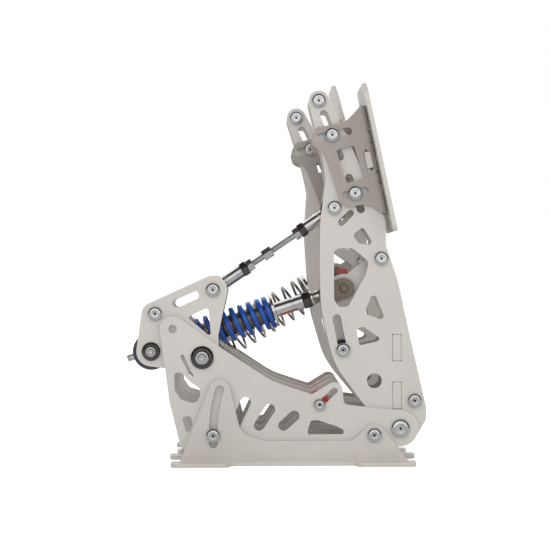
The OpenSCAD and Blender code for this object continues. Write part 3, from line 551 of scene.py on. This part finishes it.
# Both ends of every bolt: where it stands, which way it looks and how wide its head is
def boltEnds(node):
    ends = []
    for points in solidsOf(node):
        x = (min(p.x for p in points) + max(p.x for p in points)) / 2
        z = (min(p.z for p in points) + max(p.z for p in points)) / 2
        for side in (-1, 1):
            tip = max(side * p.y for p in points)
            head = [p for p in points if tip - side * p.y < headShape["height"] + nearby]
            radius = max(math.hypot(p.x - x, p.z - z) for p in head)
            if radius > smallestHead:
                ends.append((Vector((x, side * (tip - headShape["height"]), z)), side, radius))
    return ends


# Sets the shape on all the ends of one body, as one plain mesh
def setEnds(name, ends, shape, body, slot, finish=None):
    mesh = bpy.data.meshes.new(name)
    mesh.from_pydata([end[0] for end in ends], [], [])
    turn = mesh.attributes.new("turn", "FLOAT_VECTOR", "POINT")
    width = mesh.attributes.new("width", "FLOAT_VECTOR", "POINT")
    for i, (place, side, radius) in enumerate(ends):
        turn.data[i].vector = (math.radians(-90 * side), 0, 0)
        wide = radius / headShape["radius"]
        width.data[i].vector = (wide, wide, 1)
    piece = bpy.data.objects.new(name, mesh)
    bpy.context.scene.collection.objects.link(piece)
    modifier = piece.modifiers.new("ends", "NODES")
    modifier.node_group = boltEndsTree
    inputs = [item for item in boltEndsTree.interface.items_tree if item.in_out == "INPUT"]
    sockets = {item.name: item.identifier for item in inputs}
    modifier[sockets["Shape"]] = shape
    modifier[sockets["Size"]] = 1.0
    modifier[sockets["Finish"]] = materials[finish or slot]
    bpy.context.view_layer.update()
    result = bpy.data.meshes.new_from_object(piece.evaluated_get(bpy.context.evaluated_depsgraph_get()))
    piece.modifiers.clear()
    piece.data = result
    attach(piece, body)
    return piece


boltNodes = [part["node"] for part in frame["record"]["subparts"]
             if part["node"].endswith(("_bolts", "_bolt", "_axle", "_arm_rubber"))]
headObject = bpy.data.objects.new("headShape", makeHeadMesh())
endsOnBody = {}
for node in boltNodes:
    endsOnBody.setdefault(bodyOf[node], []).extend(boltEnds(node))
for body, ends in endsOnBody.items():
    setEnds(body + "_bolt_heads", ends, headObject, body, "fixing")
print("bolt heads set:", sum(len(ends) for ends in endsOnBody.values()))


# Painted shade in small recesses, with the radius of each: dark dishes at the drilled foot of a socket, in
# the relief holes at the corners of the cross plate's tabs, and in the notches where the foot bracket is
# folded. All are one shallow dish, whose rows are its heights and the shares of its radius
painted_shade = {
    "relief": 0.00052,
    "socket": 0.00095,
    "notch": 0.0006,
    "socketHeight": 0.00123,
    "rows": [(0.00001, 0.9), (0.00003, 1.0), (0.00006, 1.0), (0.00005, 0.85), (0.00003, 0.5)],
    "count": 20,
}


def makeShadeDishMesh():
    rows = [(height, share * headShape["radius"]) for height, share in painted_shade["rows"]]
    return turnPiece("recessShape", Vector((0, 0, 0)), Vector((0, 0, 1)), rows, painted_shade["count"])


shadeDishObject = bpy.data.objects.new("recessShape", makeShadeDishMesh())


# The outer corners of a node's tabs, on both of its side faces
def tabCorners(node):
    points = [vert.co for vert in frame["nodes"][node].data.vertices]
    found = {}
    for side in (-1, 1):
        tip = max(side * p.y for p in points)
        for p in points:
            if tip - side * p.y < samePlace:
                found[(round(p.x, 5), side, round(p.z, 5))] = (Vector((p.x, side * tip, p.z)), side)
    return list(found.values())


def foldNotches(module):
    low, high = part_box(module + "_foot_bracket")
    origin, turn = armFrame(module, True)
    found = []
    for up in fold["notchHeights"]:
        place = origin + turn @ Vector((fold["notchDepth"], 0, up))
        found += [(Vector((place.x, low.y, place.z)), -1), (Vector((place.x, high.y, place.z)), 1)]
    return found


# Dark dishes of painted shade, all of one radius, on the given places
def setShadeDishes(name, ends, radius, body):
    sized = [(place, side, radius) for place, side in ends]
    setEnds(name, sized, shadeDishObject, body, "dark_steel", "painted_shade")


# Painted shade at the foot of every head's socket, in the tabs' relief holes and in the fold's notches
for body, ends in endsOnBody.items():
    shadedSocketFeet = [(place + Vector((0, side * painted_shade["socketHeight"], 0)), side) for place, side, wide in ends]
    setShadeDishes(body + "_socket_feet", shadedSocketFeet, painted_shade["socket"], body)
for module in armLean:
    corners = tabCorners(module + "_cross_plate")
    setShadeDishes(module + "_tab_reliefs", corners, painted_shade["relief"], module + "_arm")
    setShadeDishes(module + "_fold_notches", foldNotches(module), painted_shade["notch"], module + "_foot")


# Tabs that end flush in a plate: the web's in each ear, the cross plate's two in each arm plate. Each has
# its pale end and a dark block of painted shade in the gap round it, in mm from the fold or from the
# pedal's pivot
tabEnds = {
    "ear": {"node": "_foot_bracket", "body": "_foot", "slot": "bracket", "onFold": True,
            "middle": (-6.15, -4.25), "half": (2.3, 6.1), "gap": 0.42},
    "low_tab": {"node": "_cross_plate", "body": "_arm", "slot": "plate", "onFold": False,
                "middle": (-2.1, 24.15), "half": (3.0, 9.75), "gap": 0.3},
    "high_tab": {"node": "_cross_plate", "body": "_arm", "slot": "plate", "onFold": False,
                 "middle": (-2.1, 59.65), "half": (3.0, 9.65), "gap": 0.3},
}
tabDepth = 0.9  # how far each block reaches down into the plate
gapRise = 0.03
tabRise = 0.05


# A block in the plane of a plate, from under its face at y = face to a hair above it
def makeBlock(name, origin, turn, middle, half, face, side, rise):
    bm = bmesh.new()
    bmesh.ops.create_cube(bm, size=2)
    for vert in bm.verts:
        along = middle[0] + vert.co.x * half[0]
        up = middle[1] + vert.co.z * half[1]
        place = origin + turn @ Vector((along, 0, up)) * 0.001
        place.y = face + side * 0.001 * (rise if vert.co.y * side > 0 else -tabDepth)
        vert.co = place
    bmesh.ops.recalc_face_normals(bm, faces=bm.faces)
    mesh = bpy.data.meshes.new(name)
    bm.to_mesh(mesh)
    bm.free()
    return mesh


def makeTabEnd(module, name, look):
    low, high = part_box(module + look["node"])
    origin, turn = armFrame(module, look["onFold"])
    body = module + look["body"]
    wide = tuple(half + look["gap"] for half in look["half"])
    for side, face, where in ((-1, low.y, "near"), (1, high.y, "far")):
        start = "_".join((module, where, name))
        # The block in the gap round the tab is painted shade; the tab's end keeps the plate's own colour
        gap = makeBlock(start + "_gap", origin, turn, look["middle"], wide, face, side, gapRise)
        piece = addPiece(start + "_gap", gap, body, "dark_steel", smooth=False)
        piece.data.materials[0] = materials["painted_shade"]
        tab = makeBlock(start + "_end", origin, turn, look["middle"], look["half"], face, side, tabRise)
        piece = addPiece(start + "_end", tab, body, look["slot"], smooth=False)
        piece.data.materials[0] = materials["plate"]


for name, look in tabEnds.items():
    for module in armLean:
        makeTabEnd(module, name, look)
print("recesses set")


# Turned pieces come as rows of (height, radius, half the flats) in millimetres
hexCorner = 1.12  # a nut's corners are turned down to this share of half its flats


def nutRows(low, high, across):
    corner = across * hexCorner
    return [(low, across * 0.97), (low + 0.05, across * 1.03, across), (low + 0.45, corner, across),
            (high - 0.45, corner, across), (high - 0.05, across * 1.03, across), (high, across * 0.97)]


def threadRows(low, high, crest, root, pitch):
    rows = [(low, root)]
    count = int((high - low) / pitch)
    for i in range(count):
        at = low + (i + 0.5) * pitch
        rows += [(at - pitch * 0.3, root), (at - pitch * 0.08, crest), (at + pitch * 0.08, crest),
                 (at + pitch * 0.3, root)]
    return rows + [(high, root)]


def addTurned(name, start, direction, rows, body, slot, count=48, degrees=30):
    mesh = turnPiece(name, start, direction, millimetres(rows), count)
    sharpen(mesh, degrees)
    return addPiece(name, mesh, body, slot)


# Domed dark washer, bright nut ring and screw at the rocker's, drum's and trunnion's ends. Each
# entry has the washer's and the nut's radius
endStacks = {
    "brake_rocker_pins": {"at": "brake_rocker", "washer": 8.4, "nut": 4.7},
    "throttle_trunnion": {"at": "throttle_trunnion", "washer": 8.4, "nut": 4.7},
    "brake_drum": {"at": "brake_drum", "washer": 6.8, "nut": 3.5},
}
stackHeight = 0.004
screwFoot = 0.003
screwShare = 0.66  # the screw's head, as a share of the nut's radius


def makeEndStack(node, look):
    place = pivot(look["at"])
    low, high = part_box(node)
    body = bodyOf[node]
    wide, nut = look["washer"], look["nut"]
    washer = [(0.02, wide - 0.4), (0.3, wide + 0.1), (1.2, wide + 0.1), (1.8, wide - 0.6),
              (2.4, nut + 1.6), (2.6, nut + 0.9), (2.4, nut + 0.4), (2.1, nut)]
    ring = [(1.5, nut), (1.5, nut + 0.3), (3.6, nut + 0.3), (4.1, nut - 0.2), (4.12, nut - 0.9),
            (3.6, nut - 1.2), (3.5, nut * 0.6)]
    for side, tip, name in ((-1, low.y, "near"), (1, high.y, "far")):
        out = Vector((0, side, 0))
        foot = Vector((place.x, tip - side * stackHeight, place.z))
        addTurned(node + "_washer_" + name, foot, out, washer, body, "dark_steel", degrees=35)
        addTurned(node + "_nut_" + name, foot, out, ring, body, "fixing", degrees=35)
        setEnds(node + "_screw_" + name, [(foot + out * screwFoot, side, nut * 0.001 * screwShare)],
                headObject, body, "fixing")


for node, look in endStacks.items():
    makeEndStack(node, look)
print("end stacks made")


# Brake strut, from the drum's pivot to the clevis: heights are along it and radii across it
brakeStrut = {
    "sleeveFrom": 24.0, "springEnd": 95.04, "sleeve": 7.6, "discPitch": 7.9,
    "tubeFrom": 97.04, "tubeTo": 119.04, "tube": 5.6, "groove": (13.4, 14.5),
    "nutTo": 125.04, "nutFlats": 6.0,
    "collar": [(0.05, 5.4), (0.3, 5.7), (1.6, 5.7), (1.9, 5.1), (2.2, 4.95), (6.6, 4.95), (6.8, 4.8)],
    "tailTip": [(-20.25, 1.9), (-20.0, 2.35), (-19.6, 2.58)],
    "tailThread": (-19.5, -17.1, 2.68, 2.53, 0.8),
    "tailFoot": [(-17.0, 2.53), (-16.8, 2.6), (-14.15, 2.6)],
}
clevisPin = [(8.25, 3.3), (8.5, 3.5), (8.9, 3.5), (9.3, 3.2), (9.6, 2.6), (9.72, 1.8), (9.6, 1.3),
             (9.45, 0.5)]


# The stack of discs inside the spring
def discRows(low, high, pitch, wide):
    rows = []
    at = low
    while at < high - 1:
        top = min(at + pitch, high)
        rows += [(at, wide - 0.9), (at + 0.3, wide - 0.15), (at + 0.7, wide), (top - 0.8, wide),
                 (top - 0.4, wide - 0.15), (top - 0.1, wide - 0.9)]
        at = top
    return rows


def tubeRows(low, high, wide, groove):
    start, end = (low + at for at in groove)
    return [(low, wide - 0.5), (low + 0.3, wide), (start, wide), (start + 0.2, wide - 0.35),
            (end - 0.2, wide - 0.35), (end, wide), (high - 0.3, wide), (high, wide - 0.5)]


def makeBrakeStrut(look):
    start = pivot("brake_drum")
    direction = (brakeStrutPin - start).normalized()
    body = "brake_plunger"
    discs = discRows(look["sleeveFrom"], look["springEnd"], look["discPitch"], look["sleeve"])
    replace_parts(addTurned("brake_sleeve_discs", start, direction, discs, body, "bronze"), "brake_sleeve")
    tube = tubeRows(look["tubeFrom"], look["tubeTo"], look["tube"], look["groove"])
    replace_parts(addTurned("brake_tube_turned", start, direction, tube, body, "chrome", 64), "brake_tube")
    nut = nutRows(look["tubeTo"], look["nutTo"], look["nutFlats"])
    nutPiece = addTurned("brake_strut_hexagon", start, direction, nut, body, "dark_steel")
    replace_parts(nutPiece, "brake_strut_nut")
    collar = [(look["nutTo"] + height, radius) for height, radius in look["collar"]]
    addTurned("brake_clevis_collar", start, direction, collar, body, "chrome", 64)
    tail = look["tailTip"] + threadRows(*look["tailThread"]) + look["tailFoot"]
    addTurned("brake_rod_tail", start, direction, tail, body, "chrome")


def makeClevisPin(name, place, body):
    for side, end in ((-1, "near"), (1, "far")):
        addTurned(name + "_pin_" + end, place, Vector((0, side, 0)), clevisPin, body, "bronze")


makeBrakeStrut(brakeStrut)
makeClevisPin("brake_clevis", brakeStrutPin, "brake_plunger")
makeClevisPin("throttle_clevis", throttleStrutPin, "throttle_plunger")
print("struts turned")


# Knurled rim of the load cell round the strut's pin. Towards the clevis's fork it sinks into the load
# cell, so that the fork can turn past it
knurl = {
    "radius": 10.9, "inner": 9.8, "sunk": 10.2, "half": 4.3, "chamfer": 0.5,
    "tooth": 0.4, "count": 132, "every": 3,
    "plainFrom": 0.3,  # cosine of the angle to the fork where the teeth end
}


def makeKnurl(look):
    start = brakeStrutPin
    out = Vector((0, 1, 0))
    fork = (pivot("brake_drum") - start).normalized()
    count = look["count"]
    half, chamfer = look["half"], look["chamfer"]
    rings = []
    for height, rise in ((-half, 0), (-half + chamfer, 1), (half - chamfer, 1), (half, 0)):
        centre = start + out * height * 0.001
        ring = turnedRing(centre, out, 1, 0, count)
        for i in range(count):
            ray = (ring[i] - centre).normalized()
            tooth = look["tooth"] * rise if i % look["every"] == 0 else 0
            reach = look["sunk"] if ray.dot(fork) > look["plainFrom"] else look["radius"] + tooth
            ring[i] = centre + ray * reach * 0.001
        rings.append(ring)
    inner = [turnedRing(start, out, look["inner"] * 0.001, height * 0.001, count)
             for height in (half, -half)]
    bm = bmesh.new()
    rows = [[bm.verts.new(point) for point in ring] for ring in rings + inner]
    for low, high in zip(rows, rows[1:] + rows[:1]):
        for i in range(count):
            j = (i + 1) % count
            bm.faces.new((low[i], low[j], high[j], high[i]))
    bmesh.ops.recalc_face_normals(bm, faces=bm.faces)
    mesh = bpy.data.meshes.new("loadCellKnurl")
    bm.to_mesh(mesh)
    bm.free()
    addPiece("brake_load_cell_knurl", mesh, "brake_arm", "dark_steel", smooth=False)


makeKnurl(knurl)


# Turnbuckle: rod ends, lock nuts, threaded stud and its middle hexagon, from the rocker to the arm.
# Each nut has its two ends and half its flats
turnbuckle = {
    "length": 108.86, "barrelFrom": 9.2, "reach": 26.0, "barrel": 4.72, "bead": (11.0, 12.7),
    "studCrest": 2.5, "studRoot": 2.2, "pitch": 0.9,
    "darkNut": (26.0, 30.6, 5.2), "brightNut": (30.7, 35.6, 4.3), "middle": (45.03, 52.83, 4.0),
}


def barrelRows(look):
    wide = look["barrel"]
    low, high = look["bead"]
    reach = look["reach"]
    return [(look["barrelFrom"], wide - 0.02), (low, wide), (low + 0.3, wide + 0.25),
            (high - 0.3, wide + 0.25), (high, wide), (reach - 0.7, wide), (reach - 0.1, wide - 0.4),
            (reach, wide - 1)]


def makeTurnbuckle(look):
    start = rockerLink
    direction = (pivot("brake_link") - start).normalized()
    finish = start + direction * look["length"] * 0.001
    body = "brake_link"
    stud = threadRows(look["reach"], look["length"] - look["reach"], look["studCrest"], look["studRoot"],
                      look["pitch"])
    studPiece = addTurned("brake_stud_thread", start, direction, stud, body, "chrome", 24, 60)
    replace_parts(studPiece, "brake_turnbuckle")
    for end, place, way in (("front", start, direction), ("rear", finish, -direction)):
        name = "brake_" + end
        addTurned(name + "_barrel", place, way, barrelRows(look), body, "chrome", 64)
        addTurned(name + "_lock_nut", place, way, nutRows(*look["darkNut"]), body, "dark_steel")
        addTurned(name + "_stud_nut", place, way, nutRows(*look["brightNut"]), body, "fixing")
    addTurned("brake_stud_middle", start, direction, nutRows(*look["middle"]), body, "fixing")


makeTurnbuckle(turnbuckle)
print("turnbuckle made")


# Floor, backdrop and light: all of it pale, so that the camera sees plain white
studio = {
    # What polished metal mirrors, from behind the camera (0) to the backdrop (1)
    "bands": [(0.0, 0.95), (0.1, 0.75), (0.17, 0.06), (0.5, 0.04), (0.58, 0.6), (0.68, 1.0), (1.0, 1.0)],
    "worldStrength": 0.9,
    "floorAlbedo": 0.82,
    "floorMirrored": 0.46,  # brightness of the floor as polished metal mirrors it
    "floorLift": 0.7,  # light that the floor gives to the camera alone
    "lampSize": 1.6,
    "lamps": {"key": {"place": (-0.9, -1.2, 1.5), "power": 10.0},
              "fill": {"place": (1.3, -0.6, 0.9), "power": 5.0}},
    "lampTarget": (0, 0, 0.1),
    "floorReach": 6,
}


# The world is plain white to the camera. Metal mirrors a white tent with a dark band at its opening
def makeWorld():
    world = bpy.data.worlds.new("studio")
    bpy.context.scene.world = world
    world.use_nodes = True
    tree = world.node_tree
    tree.nodes.clear()
    out = addNode(tree, "ShaderNodeOutputWorld", (400, 0))
    shown = addNode(tree, "ShaderNodeBackground", (0, 150), Color=(1, 1, 1, 1), Strength=1.0)
    light = addNode(tree, "ShaderNodeBackground", (0, -50), Color=(1, 1, 1, 1))
    light.inputs["Strength"].default_value = studio["worldStrength"]
    coords = addNode(tree, "ShaderNodeTexCoord", (-1000, -100))
    parts = addNode(tree, "ShaderNodeSeparateXYZ", (-800, -100))
    tree.links.new(coords.outputs["Generated"], parts.inputs[0])
    ramp = addNode(tree, "ShaderNodeValToRGB", (-400, -100))
    shift = addNode(tree, "ShaderNodeMapRange", (-600, -100), From_Min=-1.0, From_Max=1.0)
    tree.links.new(parts.outputs["Y"], shift.inputs["Value"])
    tree.links.new(shift.outputs[0], ramp.inputs["Fac"])
    stops = ramp.color_ramp.elements
    for at, grey in studio["bands"][1:-1]:
        stops.new(at)
    for stop, (at, grey) in zip(stops, studio["bands"]):
        stop.color = (grey, grey, grey, 1)
    gloss = addNode(tree, "ShaderNodeBackground", (0, -200), Strength=1.0)
    tree.links.new(ramp.outputs["Color"], gloss.inputs["Color"])
    mix = addNode(tree, "ShaderNodeMixShader", (200, 0))
    lit = addNode(tree, "ShaderNodeMixShader", (100, -100))
    path = addNode(tree, "ShaderNodeLightPath", (-300, 200))
    tree.links.new(path.outputs["Is Glossy Ray"], lit.inputs[0])
    tree.links.new(light.outputs[0], lit.inputs[1])
    tree.links.new(gloss.outputs[0], lit.inputs[2])
    tree.links.new(path.outputs["Is Camera Ray"], mix.inputs[0])
    tree.links.new(lit.outputs[0], mix.inputs[1])
    tree.links.new(shown.outputs[0], mix.inputs[2])
    tree.links.new(mix.outputs[0], out.inputs[0])


# The floor is white to the camera, and darker where metal mirrors it
def makeFloor():
    material, tree, out = newMaterial("paleFloor")
    albedo = studio["floorAlbedo"]
    diffuse = addNode(tree, "ShaderNodeBsdfDiffuse", (0, 100), Color=(albedo, albedo, albedo, 1))
    glow = addNode(tree, "ShaderNodeEmission", (0, -100), Color=(1, 1, 1, 1))
    path = addNode(tree, "ShaderNodeLightPath", (-600, 200))
    lift = addNode(tree, "ShaderNodeMath", (-200, -100), operation="MULTIPLY")
    lift.inputs[1].default_value = studio["floorLift"]
    tree.links.new(path.outputs["Is Camera Ray"], lift.inputs[0])
    tree.links.new(lift.outputs[0], glow.inputs["Strength"])
    both = addNode(tree, "ShaderNodeAddShader", (200, 0))
    tree.links.new(diffuse.outputs[0], both.inputs[0])
    tree.links.new(glow.outputs[0], both.inputs[1])
    grey = studio["floorMirrored"]
    mirrored = addNode(tree, "ShaderNodeEmission", (200, -200), Color=(grey, grey, grey, 1), Strength=1.0)
    mix = addNode(tree, "ShaderNodeMixShader", (400, 0))
    tree.links.new(path.outputs["Is Glossy Ray"], mix.inputs[0])
    tree.links.new(both.outputs[0], mix.inputs[1])
    tree.links.new(mirrored.outputs[0], mix.inputs[2])
    tree.links.new(mix.outputs[0], out.inputs[0])
    mesh = bpy.data.meshes.new("floor")
    reach = studio["floorReach"]
    mesh.from_pydata([(-reach, -reach, 0), (reach, -reach, 0), (reach, reach, 0), (-reach, reach, 0)],
                     [], [(0, 1, 2, 3)])
    floor = bpy.data.objects.new("floor", mesh)
    floor.data.materials.append(material)
    bpy.context.scene.collection.objects.link(floor)


def makeLamp(name, look):
    data = bpy.data.lights.new(name, "AREA")
    data.shape = "SQUARE"
    data.size = studio["lampSize"]
    data.energy = look["power"]
    lamp = bpy.data.objects.new(name, data)
    lamp.location = look["place"]
    lamp.visible_glossy = False
    aim = Vector(studio["lampTarget"]) - Vector(look["place"])
    lamp.rotation_euler = aim.to_track_quat("-Z", "Y").to_euler()
    bpy.context.scene.collection.objects.link(lamp)


makeWorld()
makeFloor()
for name, look in studio["lamps"].items():
    makeLamp(name, look)
print("studio made")
